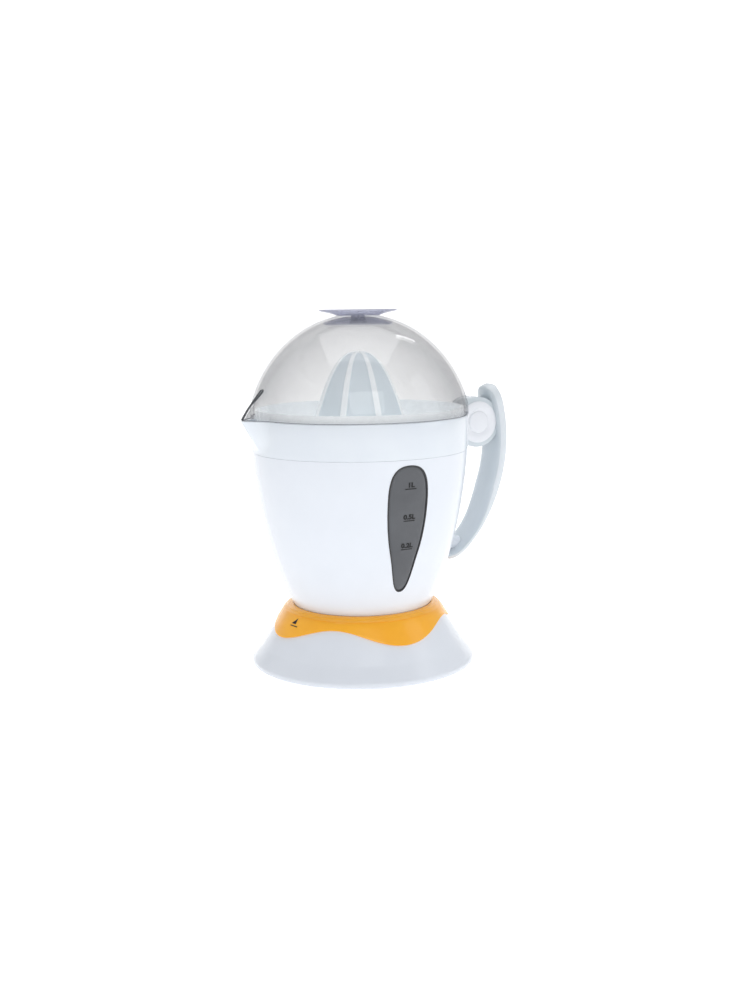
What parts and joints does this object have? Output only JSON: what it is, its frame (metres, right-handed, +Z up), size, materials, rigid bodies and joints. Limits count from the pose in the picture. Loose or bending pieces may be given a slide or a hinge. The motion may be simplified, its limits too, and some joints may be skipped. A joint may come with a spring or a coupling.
{
  "type": "citrus press juicer",
  "caption": "Electric citrus press: conical motor base, lift-off jug with spout, level window and curved handle, strainer, ribbed reamer cone and clear domed cover with knob.",
  "frame": {"origin": "centre of the base on the surface it stands on", "axes": "+Z up along the spindle; +X towards the handle, -X towards the spout; -Y towards the level window"},
  "size_m": [0.2086, 0.1644, 0.2582],
  "materials": {
    "white_gloss": "glossy moulded ABS",
    "band_gloss": "glossy moulded ABS, faintly blue",
    "orange_gloss": "glossy moulded ABS",
    "smoke_window": "smoked clear plastic",
    "clear_cover": "clear moulded polystyrene",
    "cap_silver": "bright satin plastic",
    "knob_clear": "clear bluish plastic",
    "cone_white": "glossy translucent white plastic",
    "rubber_dark": "matte rubber",
    "black_plastic": "matte",
    "nylon": "natural nylon",
    "steel": "zinc plated",
    "brass": "sintered bush",
    "copper": "enamelled copper winding",
    "ferrite": "sintered ferrite magnet"
  },
  "bodies": {
    "base": {"base_housing": "white_gloss", "motor_deck": "white_gloss", "spindle_tower": "white_gloss", "base_collar": "orange_gloss", "bottom_cover": "white_gloss", "foot_ring": "rubber_dark", "case_posts": "nylon", "plate_spacers": "nylon", "cover_screws": "steel", "cord_gland": "rubber_dark", "gear_plate": "steel", "gear_plate_screws": "steel", "motor_can": "steel", "motor_coil": "copper", "rotor_bushes": "brass", "idler_pin": "steel", "spindle_bush": "brass", "switch_body": "black_plastic", "switch_bracket": "steel", "bracket_screws": "steel", "return_spring": "steel"},
    "output_gear": {"output_gear": "nylon"},
    "spindle": {"spindle": "steel", "spindle_collar": "steel"},
    "idler": {"idler_gear": "nylon"},
    "rotor": {"rotor_magnet": "ferrite", "rotor_shaft": "steel", "rotor_pinion": "nylon"},
    "switch_button": {"switch_button": "orange_gloss"},
    "jug": {"jug_body": "white_gloss", "rim_ring": "band_gloss", "level_window": "smoke_window", "window_gasket": "rubber_dark", "handle": "white_gloss", "handle_caps": "cap_silver", "handle_pin": "steel"},
    "strainer": {"strainer": "white_gloss"},
    "thrust_washer": {"thrust_washer": "nylon"},
    "drive_hub": {"drive_hub": "nylon"},
    "cone": {"reamer_cone": "cone_white"},
    "cover": {"dust_cover": "clear_cover", "cover_knob": "knob_clear", "knob_retainer": "clear_cover", "knob_screw": "steel"}
  },
  "joints": [
    {"name": "output_spin", "type": "hinge", "parent": "base", "child": "output_gear", "pos_m": [0, 0, 0.034], "axis": [0, 0, 1], "continuous": true},
    {"name": "spindle_press", "type": "slide", "parent": "output_gear", "child": "spindle", "axis": [0, 0, 1], "range_m": [-0.003, 0], "stiffness_N_per_m": 1500, "springref_m": 0.004, "deforming": ["return_spring"]},
    {"name": "idler_spin", "type": "hinge", "parent": "base", "child": "idler", "pos_m": [0.016, 0.02175, 0.032], "axis": [0, 0, 1], "continuous": true},
    {"name": "rotor_spin", "type": "hinge", "parent": "base", "child": "rotor", "pos_m": [0.032, 0, 0.02], "axis": [0, 0, 1], "continuous": true},
    {"name": "switch_press", "type": "slide", "parent": "base", "child": "switch_button", "axis": [0, 0, 1], "range_m": [-0.003, 0]},
    {"name": "jug_lift", "type": "slide", "parent": "base", "child": "jug", "axis": [0, 0, 1], "range_m": [0, 0.16]},
    {"name": "strainer_lift", "type": "slide", "parent": "jug", "child": "strainer", "axis": [0, 0, 1], "range_m": [0, 0.06]},
    {"name": "cone_press", "type": "slide", "parent": "strainer", "child": "thrust_washer", "axis": [0, 0, 1], "range_m": [-0.003, 0]},
    {"name": "cone_spin", "type": "hinge", "parent": "thrust_washer", "child": "drive_hub", "pos_m": [0, 0, 0.18], "axis": [0, 0, 1], "continuous": true},
    {"name": "cone_lift", "type": "slide", "parent": "drive_hub", "child": "cone", "axis": [0, 0, 1], "range_m": [0, 0.05]},
    {"name": "cover_lift", "type": "slide", "parent": "strainer", "child": "cover", "axis": [0, 0, 1], "range_m": [0, 0.1]}
  ],
  "couplings": [
    {"joint": "idler_spin", "follows": "output_spin", "ratio": -2.8571},
    {"joint": "rotor_spin", "follows": "output_spin", "ratio": 8.1633},
    {"joint": "cone_spin", "follows": "output_spin", "ratio": 1},
    {"joint": "switch_press", "follows": "spindle_press", "ratio": 1},
    {"joint": "cone_press", "follows": "spindle_press", "ratio": 1},
    {"joint": "cone_lift", "follows": "cover_lift", "ratio": 0.5}
  ]
}
